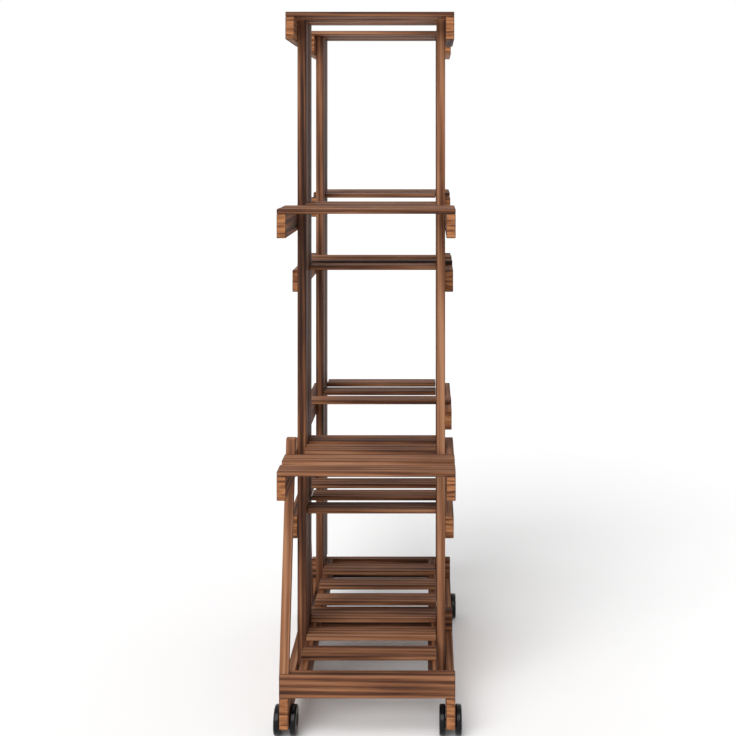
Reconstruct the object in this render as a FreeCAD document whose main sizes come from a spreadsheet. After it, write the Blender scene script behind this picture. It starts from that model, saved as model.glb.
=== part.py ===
import FreeCAD, Part
import os
import sys

V = FreeCAD.Vector
os.makedirs("parts", exist_ok=True)
doc = FreeCAD.newDocument("FlowerCartStand")

# Driving sizes in mm. Y runs along the stand from its front end to its back end, Z is up from the floor.
sheet = doc.addObject("Spreadsheet::Sheet", "Sizes")
sizes = {
    "overallWidth": 250.0,  # across the outer faces of the bearers
    "boardThick": 13.0,  # thickness of posts, bearers, rails and runners
    "boardHeight": 34.0,  # height of bearers and rails, and width of a post board
    "slatThick": 7.0,
    "slatWidth": 32.0,
    "slatClearance": 0.5,  # between a short slat and the posts beside it
    "easedEdge": 0.8,  # small chamfer on every board
    "postGap": 7.0,  # between the two boards of one post
    "frontPost": -168.0,  # front face of the front posts
    "backPost": 88.0,  # front face of the back posts
    "runnerHeight": 45.0,
    "runnerBottom": 19.5,
    "postLap": 20.0,  # how far a post reaches down along its runner
    "baseFront": -272.0,
    "baseBack": 150.0,
    "baseSlatStart": -232.0,
    "baseSlatPitch": 60.0,
    "braceThick": 13.0,
    "braceTop": 411.0,
    "braceSlope": 0.23,  # forward lean per unit of height
    "braceFrontFoot": -270.0,  # front edge of the front brace at the rail's top
    "braceBackFoot": 33.5,  # front edge of the back brace at the runner's top
    "lapClearance": 0.2,
    "wheelRadius": 20.5,
    "wheelThick": 9.0,
    "wheelGap": 0.6,  # running gap between a wheel and the runner
    "wheelRound": 2.5,
    "hubRadius": 8.0,
    "hubRecess": 1.6,
    "axleRadius": 2.0,
    "axleClearance": 0.05,
    "axleInset": 26.0,  # from the base's end to the axle
    "housingLength": 24.0,
    "housingTop": 34.0,
    "screwRadius": 2.0,
    "screwHeadRadius": 3.8,
    "screwHeadDepth": 2.4,
    "screwLength": 21.0,
}
for row, (alias, number) in enumerate(sizes.items(), start=1):
    sheet.set("A%d" % row, alias)
    sheet.set("B%d" % row, str(number))
    sheet.setAlias("B%d" % row, alias)

# One shelf: front and back of its bearers, front and back of its slats, top of its slats, slat count.
shelves = {
    "top_front": (-207.0, -83.0, -207.0, -83.0, 1046.0, 3),
    "top_back": (65.0, 180.0, 65.0, 180.0, 1046.0, 3),
    "upper_front": (-295.0, -100.0, -295.0, -113.0, 760.0, 4),
    "upper_back": (113.0, 295.0, 113.0, 295.0, 760.0, 4),
    "middle": (-128.0, 121.0, -128.0, 26.0, 661.0, 3),
    "table_front": (-295.0, -100.0, -295.0, -113.0, 393.5, 4),
    "table_back": (-10.0, 182.0, 23.0, 182.0, 414.0, 3),
    "low": (-168.0, 163.0, -158.0, 163.0, 293.0, 6),
}


def word_of(shelf):
    """A shelf's name as one word, such as tableFront."""
    first, *rest = shelf.split("_")
    return first + "".join(part.capitalize() for part in rest)


shelfKeys = ("Start", "End", "SlatStart", "SlatEnd", "Top")
row = len(sizes) + 1
for shelf, numbers in shelves.items():
    word = word_of(shelf)
    for key, number in zip(shelfKeys, numbers):
        sheet.set("A%d" % row, word + key)
        sheet.set("B%d" % row, str(number))
        sheet.setAlias("B%d" % row, word + key)
        sizes[word + key] = number
        row += 1
doc.recompute()

nodes = {}  # label of each finished piece and its object


def expr(text):
    """Writes sheet aliases in full: every word of the sheet gets the sheet's name before it."""
    out = ""
    word = ""
    for letter in text + " ":
        if letter.isalnum():
            word += letter
            continue
        out += ("Sizes." + word if word in sizes else word) + letter
        word = ""
    return out.strip()


def sum_of(text):
    """Value of a sum or difference of sheet words and numbers, read from the sheet."""
    total = 0.0
    sign = 1.0
    for token in text.replace("+", " + ").replace(" - ", " ~ ").split():
        if token == "+":
            sign = 1.0
        elif token == "~":
            sign = -1.0
        else:
            factor = 1.0
            for term in token.split("*"):
                factor *= sizes[term] if term in sizes else float(term)
            total += sign * factor
            sign = 1.0
    return total


def box(name, low, high):
    """A box between two corners that are written as sums of sheet words."""
    solid = doc.addObject("Part::Box", name)
    for size, axis in (("Length", 0), ("Width", 1), ("Height", 2)):
        solid.setExpression(size, expr("(%s) - (%s)" % (high[axis], low[axis])))
    for axis, letter in enumerate("xyz"):
        solid.setExpression("Placement.Base." + letter, expr(low[axis]))
    return solid


def board(name, low, high):
    """A board with all its edges eased."""
    doc.recompute()
    raw = box(name + "_blank", low, high)
    doc.recompute()
    eased = doc.addObject("Part::Chamfer", name)
    eased.Base = raw
    ease = sizes["easedEdge"]
    eased.Edges = [(edge, ease, ease) for edge in range(1, 13)]
    return eased


def cut(name, base, tools):
    """Base without every tool."""
    result = base
    for index, tool in enumerate(tools):
        last = index == len(tools) - 1
        piece = doc.addObject("Part::Cut", name if last else "%s_step%d" % (name, index))
        piece.Base = result
        piece.Tool = tool
        result = piece
    return result


def keep(label, thing):
    thing.Label = label
    nodes[label] = thing
    return thing


def sides():
    """Left and right: a name, and a function that mirrors a span of X from the right side."""
    yield "left", lambda near, far: ("0 - (%s)" % far, "0 - (%s)" % near)
    yield "right", lambda near, far: (near, far)


outer = "overallWidth / 2"  # outer face of the bearers and runners
inner = "overallWidth / 2 - boardThick"  # their inner face, and the posts' outer face
postInner = "overallWidth / 2 - 2 * boardThick"
cleatInner = "overallWidth / 2 - 3 * boardThick"
runnerTop = "runnerBottom + runnerHeight"
railTop = runnerTop + " + boardHeight"

# Posts: two boards side by side at each corner, screwed to the inner faces of bearers and runners.
postSpans = {
    "front_a": ("frontPost", "frontPost + boardHeight"),
    "front_b": ("frontPost + boardHeight + postGap", "frontPost + 2 * boardHeight + postGap"),
    "back_a": ("backPost", "backPost + boardHeight"),
    "back_b": ("backPost + boardHeight + postGap", "backPost + 2 * boardHeight + postGap"),
}
postCentres = {
    "front_a": sizes["frontPost"] + sizes["boardHeight"] / 2,
    "front_b": sizes["frontPost"] + sizes["boardHeight"] * 1.5 + sizes["postGap"],
    "back_a": sizes["backPost"] + sizes["boardHeight"] / 2,
    "back_b": sizes["backPost"] + sizes["boardHeight"] * 1.5 + sizes["postGap"],
}
postCentreText = {
    "front_a": "frontPost + boardHeight / 2",
    "front_b": "frontPost + boardHeight * 1.5 + postGap",
    "back_a": "backPost + boardHeight / 2",
    "back_b": "backPost + boardHeight * 1.5 + postGap",
}


def crossed(start, end):
    """The posts that a board from start to end crosses by at least half their width."""
    return [post for post, centre in postCentres.items() if start <= centre <= end]


# Screws: one through every bearer and runner into each post board that it crosses.
screwSpots = []  # post, height text, row name
for shelf, numbers in shelves.items():
    word = word_of(shelf)
    for post in crossed(numbers[0], numbers[1]):
        screwSpots.append((post, word + "Top - slatThick - boardHeight / 2", shelf))
for post in ("front_a", "front_b", "back_a"):
    screwSpots.append((post, runnerTop + " - postLap / 2", "runner"))


def screw(name, side, post, height):
    """A countersunk wood screw, flush with the outer face."""
    shank = doc.addObject("Part::Cylinder", name + "_shank")
    shank.setExpression("Radius", expr("screwRadius"))
    shank.setExpression("Height", expr("screwLength"))
    head = doc.addObject("Part::Cone", name + "_head")
    head.setExpression("Radius1", expr("screwHeadRadius"))
    head.setExpression("Radius2", expr("screwRadius"))
    head.setExpression("Height", expr("screwHeadDepth"))
    way = 1 if side == "left" else -1
    turn = FreeCAD.Rotation(V(0, 1, 0), 90 * way)
    for piece in (shank, head):
        piece.Placement = FreeCAD.Placement(V(0, 0, 0), turn)
        piece.setExpression("Placement.Base.x", expr("%d * (%s)" % (-way, outer)))
        piece.setExpression("Placement.Base.y", expr(postCentreText[post]))
        piece.setExpression("Placement.Base.z", expr(height))
    whole = doc.addObject("Part::Fuse", name)
    whole.Base = shank
    whole.Tool = head
    return whole


screws = {}
for side, span in sides():
    for post, height, owner in screwSpots:
        name = "screw_%s_%s_%s" % (owner, post, side)
        screws[(side, owner, post)] = screw(name, side, post, height)


def screws_in(side, owner=None, post=None):
    return [s for (a, b, c), s in screws.items() if a == side and (owner in (None, b)) and (post in (None, c))]


for side, span in sides():
    low_x, high_x = span(postInner, inner)
    for post, (front, back) in postSpans.items():
        bottom = railTop if post == "back_b" else runnerTop + " - postLap"
        blank = board("post_%s_%s_board" % (post, side), (low_x, front, bottom), (high_x, back, "topFrontTop - slatThick"))
        keep("post_%s_%s" % (post, side), cut("post_%s_%s" % (post, side), blank, screws_in(side, post=post)))


# Braces: two slanted battens on the left side, the front one half-lapped through the front table's bearer.
def batten(name, foot, foot_z, top_z, way):
    """A slanted batten in the bearers' plane, drawn as a parallelogram and padded across."""
    body = doc.addObject("PartDesign::Body", name + "_body")
    plane = [f for f in body.Origin.OriginFeatures if f.Role == "YZ_Plane"][0]
    sketch = body.newObject("Sketcher::SketchObject", name + "_outline")
    sketch.AttachmentSupport = [(plane, "")]
    sketch.MapMode = "FlatFace"
    low_z = sum_of(foot_z)
    high_z = sum_of(top_z)
    lean = sizes["braceSlope"] * (high_z - low_z) * way
    width = sizes["braceThick"]
    start = sizes[foot]
    corners = [
        V(start, low_z, 0),
        V(start + width, low_z, 0),
        V(start + width + lean, high_z, 0),
        V(start + lean, high_z, 0),
    ]
    for index in range(4):
        sketch.addGeometry(Part.LineSegment(corners[index], corners[(index + 1) % 4]), False)
    pad = body.newObject("PartDesign::Pad", name + "_pad")
    pad.Profile = sketch
    pad.setExpression("Length", expr("boardThick"))
    body.setExpression("Placement.Base.x", expr("0 - (%s)" % outer))
    doc.recompute()
    return body


frontBrace = batten("brace_front_left", "braceFrontFoot", "runnerBottom+runnerHeight+boardHeight", "braceTop", 1)
backBrace = batten("brace_back_left", "braceBackFoot", "runnerBottom+runnerHeight", "lowTop - slatThick - boardHeight", -1)

# The lap: in the crossing the bearer keeps the outer half and the batten the inner half.
tableBottom = "tableFrontTop - slatThick - boardHeight"
tableTop = "tableFrontTop"
lapBearer = box(
    "lap_bearer_half",
    ("0 - (%s)" % outer, "tableFrontStart", tableBottom + " - lapClearance"),
    ("0 - (%s) + boardThick / 2" % outer, "tableFrontEnd", "tableFrontTop - slatThick + lapClearance"),
)
keep("brace_front_left", cut("brace_front_left", frontBrace, [lapBearer]))
keep("brace_back_left", backBrace)

# Bearers: a pair under each shelf, outside the posts.
for shelf in shelves:
    word = word_of(shelf)
    top = word + "Top - slatThick"
    for side, span in sides():
        low_x, high_x = span(inner, outer)
        name = "bearer_%s_%s" % (shelf, side)
        blank = board(name + "_board", (low_x, word + "Start", top + " - boardHeight"), (high_x, word + "End", top))
        tools = screws_in(side, owner=shelf)
        if shelf == "table_front" and side == "left":
            tools.append(nodes["brace_front_left"])
        keep(name, cut(name, blank, tools) if tools else blank)

# Slats: full width over the bearers, and shorter where they pass between the posts.
shortHalf = postInner + " - slatClearance"


def slats(node, start, pitch, count, top, always_short):
    """Evenly spaced slats as one node, each a separate solid."""
    pieces = []
    for index in range(count):
        first = "%s + %d * (%s)" % (start, index, pitch)
        front = slat_value(start, pitch, index)
        back = front + sizes["slatWidth"]
        beside = any(
            front < centre + sizes["boardHeight"] / 2 and back > centre - sizes["boardHeight"] / 2
            for centre in postCentres.values()
        )
        atPosts = top not in ("topFrontTop", "topBackTop") and beside
        half = shortHalf if (atPosts or always_short) else outer
        name = "%s_%d" % (node, index + 1)
        low = ("0 - (%s)" % half, first, top + " - slatThick")
        high = (half, first + " + slatWidth", top)
        piece = board(name, low, high)
        if word_is_brace_row(node) and not beside:
            piece = cut(name + "_notched", piece, [notch])
        pieces.append(piece)
    group = doc.addObject("Part::Compound", node)
    group.Links = pieces
    return keep(node, group)


def word_is_brace_row(node):
    return node == "slats_table_front"


def slat_value(start, pitch, index):
    """Front edge of a slat, in mm."""
    doc.recompute()
    probe = doc.getObject("SlatProbe") or doc.addObject("Part::Vertex", "SlatProbe")
    probe.setExpression("Y", expr("%s + %d * (%s)" % (start, index, pitch)))
    doc.recompute()
    return float(probe.Y)


notch = box(
    "brace_notch",
    ("0 - (%s) - 1" % outer, "braceFrontFoot + braceSlope * (tableFrontTop - slatThick - (%s)) - 1" % railTop, tableTop + " - slatThick - 1"),
    (
        "0 - (%s) + boardThick + lapClearance" % outer,
        "braceFrontFoot + braceThick + braceSlope * (tableFrontTop - (%s)) + 1" % railTop,
        tableTop + " + 1",
    ),
)
for shelf, numbers in shelves.items():
    word = word_of(shelf)
    count = numbers[5]
    pitch = "(%sSlatEnd - %sSlatStart - slatWidth) / %d" % (word, word, count - 1)
    slats("slats_" + shelf, word + "SlatStart", pitch, count, word + "Top", False)
baseTop = railTop + " + slatThick"

# Base: two runners, three cross rails on them, two cleats between the rails, and six slats.
for side, span in sides():
    low_x, high_x = span(inner, outer)
    name = "runner_" + side
    blank = board(name + "_board", (low_x, "baseFront", "runnerBottom"), (high_x, "baseBack", runnerTop))
    tools = screws_in(side, owner="runner")
    for end, centre in (("front", "baseFront + axleInset"), ("back", "baseBack - axleInset")):
        pocket = box(
            "pocket_%s_%s" % (end, side),
            (low_x, centre + " - housingLength / 2", "runnerBottom"),
            (high_x, centre + " + housingLength / 2", "housingTop"),
        )
        tools.append(pocket)
    keep(name, cut(name, blank, tools))
railSpans = {
    "front": ("baseFront", "baseFront + boardThick", outer),
    "middle": ("(baseFront + baseBack - boardThick) / 2", "(baseFront + baseBack + boardThick) / 2", outer),
    "back": ("baseBack - boardThick", "baseBack", outer),
}
for rail, (front, back, half) in railSpans.items():
    keep("rail_" + rail, board("rail_" + rail, ("0 - (%s)" % half, front, runnerTop), (half, back, railTop)))
cleatSpans = {
    "front": ("baseFront + boardThick", "(baseFront + baseBack - boardThick) / 2"),
    "back": ("(baseFront + baseBack + boardThick) / 2", "baseBack - boardThick"),
}
for side, span in sides():
    low_x, high_x = span(cleatInner, postInner)
    pair = []
    for part, (front, back) in cleatSpans.items():
        pair.append(board("cleat_%s_%s" % (part, side), (low_x, front, runnerTop), (high_x, back, railTop)))
    cleats = doc.addObject("Part::Compound", "cleats_" + side)
    cleats.Links = pair
    keep("cleats_" + side, cleats)
slats("slats_base", "baseSlatStart", "baseSlatPitch", 6, baseTop, True)


# Casters: a housing let into the runner, an axle through it, and a wheel on each side.
def wheel(name):
    """A solid wheel turned about its axle, with a rounded tread and a sunk hub on its outer face."""
    body = doc.addObject("PartDesign::Body", name)
    plane = [f for f in body.Origin.OriginFeatures if f.Role == "XZ_Plane"][0]
    sketch = body.newObject("Sketcher::SketchObject", name + "_profile")
    sketch.AttachmentSupport = [(plane, "")]
    sketch.MapMode = "FlatFace"
    bore = sizes["axleRadius"]
    rim = sizes["wheelRadius"]
    thick = sizes["wheelThick"]
    curve = sizes["wheelRound"]
    hub = sizes["hubRadius"]
    sunk = sizes["hubRecess"]
    points = [
        V(0, bore, 0),
        V(0, rim - curve, 0),
        V(curve, rim, 0),
        V(thick - curve, rim, 0),
        V(thick, rim - curve, 0),
        V(thick, hub + sunk, 0),
        V(thick - sunk, hub, 0),
        V(thick - sunk, bore, 0),
    ]
    corner = 0.70710678 * curve
    for index in range(8):
        here = points[index]
        there = points[(index + 1) % 8]
        if index in (1, 3):
            centre = V(curve, rim - curve, 0) if index == 1 else V(thick - curve, rim - curve, 0)
            out = V(-corner, corner, 0) if index == 1 else V(corner, corner, 0)
            sketch.addGeometry(Part.Arc(here, centre + out, there), False)
        else:
            sketch.addGeometry(Part.LineSegment(here, there), False)
    turned = body.newObject("PartDesign::Revolution", name + "_turned")
    turned.Profile = sketch
    turned.ReferenceAxis = (sketch, ["H_Axis"])
    turned.Angle = 360
    doc.recompute()
    return body


def along_x(name, radius, length, start, centre, height):
    """A cylinder along X from start."""
    rod = doc.addObject("Part::Cylinder", name)
    rod.setExpression("Radius", expr(radius))
    rod.setExpression("Height", expr(length))
    rod.Placement = FreeCAD.Placement(V(0, 0, 0), FreeCAD.Rotation(V(0, 1, 0), 90))
    rod.setExpression("Placement.Base.x", expr(start))
    rod.setExpression("Placement.Base.y", expr(centre))
    rod.setExpression("Placement.Base.z", expr(height))
    return rod


for side, span in sides():
    low_x, high_x = span(inner, outer)
    for end, centre in (("front", "baseFront + axleInset"), ("back", "baseBack - axleInset")):
        spot = "%s_%s" % (end, side)
        block = box(
            "housing_block_" + spot,
            (low_x, centre + " - housingLength / 2", "wheelRadius"),
            (high_x, centre + " + housingLength / 2", "housingTop"),
        )
        nose = along_x("housing_nose_" + spot, "housingLength / 2", "boardThick", low_x, centre, "wheelRadius")
        whole = doc.addObject("Part::Fuse", "housing_whole_" + spot)
        whole.Base = block
        whole.Tool = nose
        bore = along_x("housing_bore_" + spot, "axleRadius + axleClearance", "boardThick + 2", low_x + " - 1", centre, "wheelRadius")
        keep("caster_housing_" + spot, cut("caster_housing_" + spot, whole, [bore]))
        rodStart = low_x + " - wheelGap - wheelThick + hubRecess"
        rodLength = "boardThick + 2 * wheelGap + 2 * wheelThick - 2 * hubRecess"
        keep("axle_" + spot, along_x("axle_" + spot, "axleRadius", rodLength, rodStart, centre, "wheelRadius"))
        for hand, way in (("a", -1), ("b", 1)):
            disc = wheel("wheel_%s_%s" % (hand, spot))
            if way < 0:
                disc.Placement = FreeCAD.Placement(V(0, 0, 0), FreeCAD.Rotation(V(0, 0, 1), 180))
                disc.setExpression("Placement.Base.x", expr(low_x + " - wheelGap"))
            else:
                disc.setExpression("Placement.Base.x", expr(high_x + " + wheelGap"))
            disc.setExpression("Placement.Base.y", expr(centre))
            disc.setExpression("Placement.Base.z", expr("wheelRadius"))
            keep("wheel_%s_%s" % (hand, spot), disc)

screwGroup = doc.addObject("Part::Compound", "screws")
screwGroup.Links = list(screws.values())
keep("screws", screwGroup)

doc.recompute()
faults = 0
for thing in doc.Objects:
    if "Invalid" in thing.State or "Error" in thing.State:
        print("failed:", thing.Name, thing.State)
        faults += 1
for label, thing in nodes.items():
    if thing.Shape.isNull() or not thing.Shape.isValid():
        print("bad shape:", label)
        faults += 1
if faults:
    sys.exit("%d faults" % faults)
for label, thing in nodes.items():
    thing.Shape.exportStep("parts/%s.step" % label)
print(len(nodes), "nodes written")
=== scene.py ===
import bmesh
import bpy
import math
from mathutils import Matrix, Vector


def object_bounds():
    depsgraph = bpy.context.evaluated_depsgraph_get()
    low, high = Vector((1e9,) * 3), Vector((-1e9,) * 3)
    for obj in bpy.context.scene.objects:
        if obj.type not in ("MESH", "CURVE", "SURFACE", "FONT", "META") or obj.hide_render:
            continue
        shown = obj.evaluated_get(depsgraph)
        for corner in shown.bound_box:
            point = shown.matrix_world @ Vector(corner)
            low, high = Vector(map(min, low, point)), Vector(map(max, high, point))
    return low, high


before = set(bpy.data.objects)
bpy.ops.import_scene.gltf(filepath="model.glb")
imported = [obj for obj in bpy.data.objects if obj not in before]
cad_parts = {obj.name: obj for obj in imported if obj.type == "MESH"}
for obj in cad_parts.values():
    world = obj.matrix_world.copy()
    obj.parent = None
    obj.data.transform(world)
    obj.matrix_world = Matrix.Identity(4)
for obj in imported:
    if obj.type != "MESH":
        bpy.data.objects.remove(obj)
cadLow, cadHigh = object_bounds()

cameraLook = {
    "standOff": 1.460,  # from the near shelf ends to the camera, metres
    "sideways": 0.0904,
    "eyeHeight": 0.8562,
    "lens": 51.2,
    "sensorHeight": 36.0,  # with a vertical fit this alone sets the angle of view
    "sensorWidth": 16.0,  # narrow, so that a turned view stands back and holds the whole part
    "shiftX": -0.0855,
    "shiftY": -0.3098,
    "farClip": 200.0,
}


def makeCamera():
    data = bpy.data.cameras.new("photoCamera")
    data.lens = cameraLook["lens"]
    data.sensor_fit = "VERTICAL"
    data.sensor_height = cameraLook["sensorHeight"]
    data.sensor_width = cameraLook["sensorWidth"]
    data.shift_x = cameraLook["shiftX"]
    data.shift_y = cameraLook["shiftY"]
    data.clip_end = cameraLook["farClip"]
    camera = bpy.data.objects.new("photoCamera", data)
    bpy.context.scene.collection.objects.link(camera)
    behind = cadLow.y - cameraLook["standOff"]
    camera.location = (cameraLook["sideways"], behind, cameraLook["eyeHeight"])
    camera.rotation_euler = (math.radians(90), 0, 0)
    bpy.context.scene.camera = camera


makeCamera()
print("camera placed")


def addNode(tree, kind, **settings):
    node = tree.nodes.new(kind)
    for name, value in settings.items():
        setattr(node, name, value)
    return node


def link(tree, source, target):
    tree.links.new(source, target)


def mathNode(tree, operation, first, second):
    node = addNode(tree, "ShaderNodeMath", operation=operation)
    for socket, value in zip(node.inputs, (first, second)):
        if hasattr(value, "links"):
            link(tree, value, socket)
        else:
            socket.default_value = value
    return node.outputs[0]


def mixColour(tree, factor, first, second):
    node = addNode(tree, "ShaderNodeMix", data_type="RGBA")
    given = ((0, factor), (6, first), (7, second))  # places of the factor and the two colours on the node
    for place, value in given:
        socket = node.inputs[place]
        if hasattr(value, "links"):
            link(tree, value, socket)
        elif isinstance(value, tuple):
            socket.default_value = (*value, 1.0)
        else:
            socket.default_value = value
    return node.outputs[2]


def noiseNode(tree, vector, scale, detail, rough=0.55, distortion=0.0):
    node = addNode(tree, "ShaderNodeTexNoise")
    link(tree, vector, node.inputs["Vector"])
    node.inputs["Scale"].default_value = scale
    node.inputs["Detail"].default_value = detail
    node.inputs["Roughness"].default_value = rough
    node.inputs["Distortion"].default_value = distortion
    return node.outputs["Fac"]


def stretch(tree, vector, scale):
    node = addNode(tree, "ShaderNodeMapping")
    link(tree, vector, node.inputs["Vector"])
    node.inputs["Scale"].default_value = scale
    return node.outputs["Vector"]


def ramp(tree, factor, stops):
    node = addNode(tree, "ShaderNodeValToRGB")
    link(tree, factor, node.inputs["Fac"])
    elements = node.color_ramp.elements
    while len(elements) < len(stops):
        elements.new(0.5)
    for element, (place, colour) in zip(elements, stops):
        element.position = place
        element.color = (*colour, 1.0)
    return node.outputs["Color"]


def separate(tree, vector):
    node = addNode(tree, "ShaderNodeSeparateXYZ")
    link(tree, vector, node.inputs[0])
    return node.outputs


def startMaterial(name):
    material = bpy.data.materials.new(name)
    material.use_nodes = True
    tree = material.node_tree
    place = addNode(tree, "ShaderNodeTexCoord").outputs["Object"]
    return material, tree, tree.nodes["Principled BSDF"], place


def addBump(tree, shader, height, strength, distance):
    bump = addNode(tree, "ShaderNodeBump")
    bump.inputs["Strength"].default_value = strength
    bump.inputs["Distance"].default_value = distance
    link(tree, height, bump.inputs["Height"])
    link(tree, bump.outputs["Normal"], shader.inputs["Normal"])


woodLook = {
    "dark": (0.026, 0.010, 0.006),  # burnt late wood
    "brown": (0.092, 0.034, 0.016),
    "tan": (0.215, 0.088, 0.040),
    "pale": (0.370, 0.180, 0.095),  # brushed early wood
    "endPale": (0.400, 0.165, 0.065),
    "endDark": (0.100, 0.032, 0.013),
    # painted shade: the dark colour laid on every eased edge, giving the boards dark outlines
    "edgeShadeColour": (0.028, 0.011, 0.007),
    "toneStops": (0.33, 0.44, 0.54, 0.68),  # where dark, brown, tan and pale lie
    "endStops": (0.34, 0.62),
    "streaksAcross": 125.0,
    "fineAcross": 520.0,
    "alongShare": 0.020,  # how much slower the grain changes along the board
    "warpAcross": 14.0,
    "warpAlong": 0.12,
    "patchesAcross": 22.0,
    "patchesAlong": 0.25,
    "ringsAcross": 62.0,
    "endRingsAcross": 260.0,
    "endRingsFlat": 0.10,  # how much longer than high the rings of an end are
    "streakShare": 0.52,  # shares of each pattern in the tone
    "fineShare": 0.26,
    "ringShare": 0.12,
    "patchShare": 0.30,
    "warpShare": 0.10,
    "toneDrop": 0.15,
    "boardTones": 0.42,  # how far boards differ from each other
    "toneSteps": 17.0,  # how fast the tone changes from board to board, per metre
    "nodeSteps": 31.0,
    "nodeSpread": (0.7, 1.9, 3.1),  # moves the grain of each node by its own amount
    "flatFace": 0.90,  # a face turned further than this from every axis is an eased edge
    # how strongly the eased edges are darkened with painted shade
    "edgeShare": 0.55,
    "roughness": 0.51,
    "roughSpread": 0.22,
    "sheen": 0.16,
    "bump": 0.30,
    "bumpDistance": 0.0006,
    "bumpStreaks": 0.6,
    "bumpFine": 0.4,
}


def makeWoodGroup():
    group = bpy.data.node_groups.new("burntPine", "ShaderNodeTree")
    group.interface.new_socket("Grain Vector", in_out="INPUT", socket_type="NodeSocketVector")
    for mask in ("Board Tone", "End Grain", "Edge"):
        group.interface.new_socket(mask, in_out="INPUT", socket_type="NodeSocketFloat")
    group.interface.new_socket("Color", in_out="OUTPUT", socket_type="NodeSocketColor")
    for value in ("Roughness", "Height"):
        group.interface.new_socket(value, in_out="OUTPUT", socket_type="NodeSocketFloat")
    given = addNode(group, "NodeGroupInput")
    result = addNode(group, "NodeGroupOutput")
    grain = given.outputs["Grain Vector"]
    slow = stretch(group, grain, (woodLook["alongShare"], 1.0, 1.0))
    longer = stretch(group, grain, (woodLook["warpAlong"], 1.0, 1.0))
    warp = noiseNode(group, longer, woodLook["warpAcross"], 2.0)
    wide = noiseNode(group, slow, woodLook["streaksAcross"], 3.0, 0.6, 0.6)
    fine = noiseNode(group, slow, woodLook["fineAcross"], 3.0, 0.65)
    shorter = stretch(group, grain, (woodLook["patchesAlong"], 1.0, 1.0))
    patches = noiseNode(group, shorter, woodLook["patchesAcross"], 2.0)
    rings = addNode(group, "ShaderNodeTexWave", wave_type="BANDS", bands_direction="DIAGONAL")
    link(group, slow, rings.inputs["Vector"])
    waves = {"Scale": woodLook["ringsAcross"], "Distortion": 4.0, "Detail": 2.0, "Detail Scale": 0.6}
    for socket, value in waves.items():
        rings.inputs[socket].default_value = value
    mixed = mathNode(group, "MULTIPLY", wide, woodLook["streakShare"])
    patterns = (
        (fine, "fineShare"),
        (rings.outputs["Fac"], "ringShare"),
        (patches, "patchShare"),
        (warp, "warpShare"),
    )
    for pattern, share in patterns:
        mixed = mathNode(group, "ADD", mixed, mathNode(group, "MULTIPLY", pattern, woodLook[share]))
    mixed = mathNode(group, "SUBTRACT", mixed, woodLook["toneDrop"])
    shifted = mathNode(group, "SUBTRACT", given.outputs["Board Tone"], 0.5)
    tone = mathNode(group, "MULTIPLY", shifted, woodLook["boardTones"])
    tone = mathNode(group, "ADD", mixed, tone)
    tones = [woodLook[colour] for colour in ("dark", "brown", "tan", "pale")]
    colour = ramp(group, tone, list(zip(woodLook["toneStops"], tones)))
    flat = stretch(group, grain, (1.0, woodLook["endRingsFlat"], 1.0))
    ringNoise = noiseNode(group, flat, woodLook["endRingsAcross"], 2.0, 0.5, 0.3)
    endTones = (woodLook["endDark"], woodLook["endPale"])
    ends = ramp(group, ringNoise, list(zip(woodLook["endStops"], endTones)))
    colour = mixColour(group, given.outputs["End Grain"], colour, ends)
    # painted shade: the eased edges are darkened by a fixed share towards a dark colour
    paintedEdgeShade = mathNode(group, "MULTIPLY", given.outputs["Edge"], woodLook["edgeShare"])
    colour = mixColour(group, paintedEdgeShade, colour, woodLook["edgeShadeColour"])
    link(group, colour, result.inputs["Color"])
    rough = mathNode(group, "MULTIPLY", fine, woodLook["roughSpread"])
    rough = mathNode(group, "ADD", rough, woodLook["roughness"])
    link(group, rough, result.inputs["Roughness"])
    streakHeight = mathNode(group, "MULTIPLY", wide, woodLook["bumpStreaks"])
    fineHeight = mathNode(group, "MULTIPLY", fine, woodLook["bumpFine"])
    link(group, mathNode(group, "ADD", streakHeight, fineHeight), result.inputs["Height"])
    return group


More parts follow.
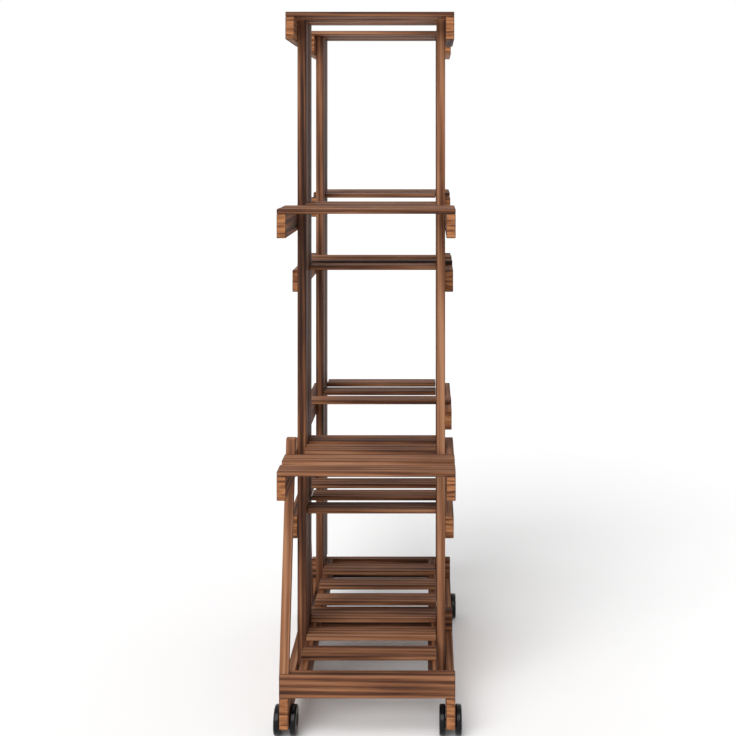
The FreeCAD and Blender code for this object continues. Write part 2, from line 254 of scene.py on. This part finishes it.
def makeWood(name, grainAxis, toneAlong, group, lean=0.0):
    material, tree, shader, place = startMaterial(name)
    axes = separate(tree, place)
    order = {"X": (0, 1, 2), "Y": (1, 0, 2), "Z": (2, 0, 1)}[grainAxis]
    grain = addNode(tree, "ShaderNodeCombineXYZ")
    for slotNumber, axis in enumerate(order):
        link(tree, axes[axis], grain.inputs[slotNumber])
    if lean:
        slanted = mathNode(tree, "SUBTRACT", axes[1], mathNode(tree, "MULTIPLY", axes[2], lean))
        link(tree, slanted, grain.inputs[2])
    info = addNode(tree, "ShaderNodeObjectInfo")
    spread = addNode(tree, "ShaderNodeVectorMath", operation="SCALE")
    spread.inputs[0].default_value = woodLook["nodeSpread"]
    link(tree, info.outputs["Random"], spread.inputs["Scale"])
    moved = addNode(tree, "ShaderNodeVectorMath", operation="ADD")
    link(tree, grain.outputs[0], moved.inputs[0])
    link(tree, spread.outputs[0], moved.inputs[1])
    steps = mathNode(tree, "MULTIPLY", axes["XYZ".index(toneAlong)], woodLook["toneSteps"])
    ownStep = mathNode(tree, "MULTIPLY", info.outputs["Random"], woodLook["nodeSteps"])
    steps = mathNode(tree, "ADD", steps, ownStep)
    chance = addNode(tree, "ShaderNodeTexNoise", noise_dimensions="1D")
    link(tree, steps, chance.inputs["W"])
    chance.inputs["Scale"].default_value = 1.0
    chance.inputs["Detail"].default_value = 1.0
    normal = addNode(tree, "ShaderNodeNewGeometry").outputs["True Normal"]
    facing = addNode(tree, "ShaderNodeVectorMath", operation="ABSOLUTE")
    link(tree, normal, facing.inputs[0])
    parts = separate(tree, facing.outputs[0])
    largest = mathNode(tree, "MAXIMUM", parts[0], mathNode(tree, "MAXIMUM", parts[1], parts[2]))
    edge = mathNode(tree, "LESS_THAN", largest, woodLook["flatFace"])
    endGrain = mathNode(tree, "GREATER_THAN", parts["XYZ".index(grainAxis)], woodLook["flatFace"])
    wood = addNode(tree, "ShaderNodeGroup")
    wood.node_tree = group
    link(tree, moved.outputs[0], wood.inputs["Grain Vector"])
    link(tree, chance.outputs["Fac"], wood.inputs["Board Tone"])
    link(tree, endGrain, wood.inputs["End Grain"])
    link(tree, edge, wood.inputs["Edge"])
    link(tree, wood.outputs["Color"], shader.inputs["Base Color"])
    link(tree, wood.outputs["Roughness"], shader.inputs["Roughness"])
    addBump(tree, shader, wood.outputs["Height"], woodLook["bump"], woodLook["bumpDistance"])
    shader.inputs["Specular IOR Level"].default_value = woodLook["sheen"]
    return material


plasticLook = {
    "colour": (0.003, 0.003, 0.004),
    "scuffed": (0.010, 0.010, 0.011),
    "scuffShare": 0.5,
    "scuffs": 900.0,  # scuffs and mould marks per metre
    "moulding": 260.0,
    "roughness": 0.14,
    "roughSpread": 0.16,
    "sheen": 0.18,
    "bump": 0.12,
    "bumpDistance": 0.0003,
}


def makePlastic():
    material, tree, shader, place = startMaterial("blackPlastic")
    scuffs = noiseNode(tree, place, plasticLook["scuffs"], 3.0)
    blotches = noiseNode(tree, place, plasticLook["moulding"], 2.0)
    share = mathNode(tree, "MULTIPLY", scuffs, plasticLook["scuffShare"])
    colour = mixColour(tree, share, plasticLook["colour"], plasticLook["scuffed"])
    link(tree, colour, shader.inputs["Base Color"])
    spread = mathNode(tree, "MULTIPLY", blotches, plasticLook["roughSpread"])
    link(tree, mathNode(tree, "ADD", spread, plasticLook["roughness"]), shader.inputs["Roughness"])
    addBump(tree, shader, blotches, plasticLook["bump"], plasticLook["bumpDistance"])
    shader.inputs["Specular IOR Level"].default_value = plasticLook["sheen"]
    return material


steelLook = {
    "colour": (0.46, 0.44, 0.41),
    "stained": (0.24, 0.19, 0.13),
    "stains": 400.0,
    "turningLines": 2200.0,
    "roughness": 0.34,
    "roughSpread": 0.2,
}


def makeSteel():
    material, tree, shader, place = startMaterial("plainSteel")
    turned = stretch(tree, place, (1.0, 0.1, 0.1))
    lines = noiseNode(tree, turned, steelLook["turningLines"], 2.0)
    stain = noiseNode(tree, place, steelLook["stains"], 3.0)
    colour = mixColour(tree, stain, steelLook["colour"], steelLook["stained"])
    link(tree, colour, shader.inputs["Base Color"])
    spread = mathNode(tree, "MULTIPLY", lines, steelLook["roughSpread"])
    link(tree, mathNode(tree, "ADD", spread, steelLook["roughness"]), shader.inputs["Roughness"])
    shader.inputs["Metallic"].default_value = 1.0
    return material


braceLean = 0.23  # how far a brace leans along Y per metre of height


def dressNodes():
    group = makeWoodGroup()
    woods = {
        "across": makeWood("pineAcross", "X", "Y", group),  # slats and rails
        "along": makeWood("pineAlong", "Y", "X", group),  # bearers, runners and cleats
        "upright": makeWood("pineUpright", "Z", "Y", group),
        "front": makeWood("pineLeaningBack", "Z", "X", group, braceLean),  # the front brace
        "back": makeWood("pineLeaningForward", "Z", "X", group, -braceLean),
    }
    plastic = makePlastic()
    steel = makeSteel()
    starts = {
        "slats": woods["across"],
        "rail": woods["across"],
        "bearer": woods["along"],
        "runner": woods["along"],
        "cleats": woods["along"],
        "post": woods["upright"],
        "wheel": plastic,
        "caster": plastic,
        "axle": steel,
        "screws": steel,
    }
    for name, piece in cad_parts.items():
        words = name.split("_")
        material = woods[words[1]] if words[0] == "brace" else starts[words[0]]
        if not piece.data.materials:
            piece.data.materials.append(material)
        for slotNumber in range(len(piece.material_slots)):
            piece.material_slots[slotNumber].material = material


dressNodes()
print("materials made")

stageLook = {
    "floorColour": (0.97, 0.97, 0.97),
    "floorRoughness": 0.9,
    "floorSize": 60.0,
    "sunTurn": (46, 0, -24),
    "sunStrength": 2.4,
    "sunAngle": 50.0,  # wide, so that shadows are soft
    "fill": 0.56,  # light from the white surroundings
}


def makeStage():
    mesh = bmesh.new()
    half = stageLook["floorSize"] / 2
    bmesh.ops.create_grid(mesh, x_segments=1, y_segments=1, size=half)
    data = bpy.data.meshes.new("studioFloor")
    mesh.to_mesh(data)
    mesh.free()
    floor = bpy.data.objects.new("studioFloor", data)
    bpy.context.scene.collection.objects.link(floor)
    material = bpy.data.materials.new("paleFloor")
    material.use_nodes = True
    shader = material.node_tree.nodes["Principled BSDF"]
    shader.inputs["Base Color"].default_value = (*stageLook["floorColour"], 1.0)
    shader.inputs["Roughness"].default_value = stageLook["floorRoughness"]
    shader.inputs["Specular IOR Level"].default_value = 0.0
    data.materials.append(material)


def makeSun():
    data = bpy.data.lights.new("keySun", "SUN")
    data.energy = stageLook["sunStrength"]
    data.angle = math.radians(stageLook["sunAngle"])
    lamp = bpy.data.objects.new("keySun", data)
    lamp.rotation_euler = [math.radians(angle) for angle in stageLook["sunTurn"]]
    bpy.context.scene.collection.objects.link(lamp)


def makeWorld():
    world = bpy.data.worlds.new("studioWorld")
    bpy.context.scene.world = world
    world.use_nodes = True
    tree = world.node_tree
    back = tree.nodes["Background"]
    back.inputs["Color"].default_value = (1.0, 1.0, 1.0, 1.0)
    path = addNode(tree, "ShaderNodeLightPath")
    seen = mathNode(tree, "MAXIMUM", path.outputs["Is Camera Ray"], path.outputs["Is Glossy Ray"])
    gain = mathNode(tree, "MULTIPLY", seen, 1.0 - stageLook["fill"])
    link(tree, mathNode(tree, "ADD", gain, stageLook["fill"]), back.inputs["Strength"])


makeStage()
makeWorld()
makeSun()
bpy.context.scene.view_settings.view_transform = "Standard"
print("stage made")
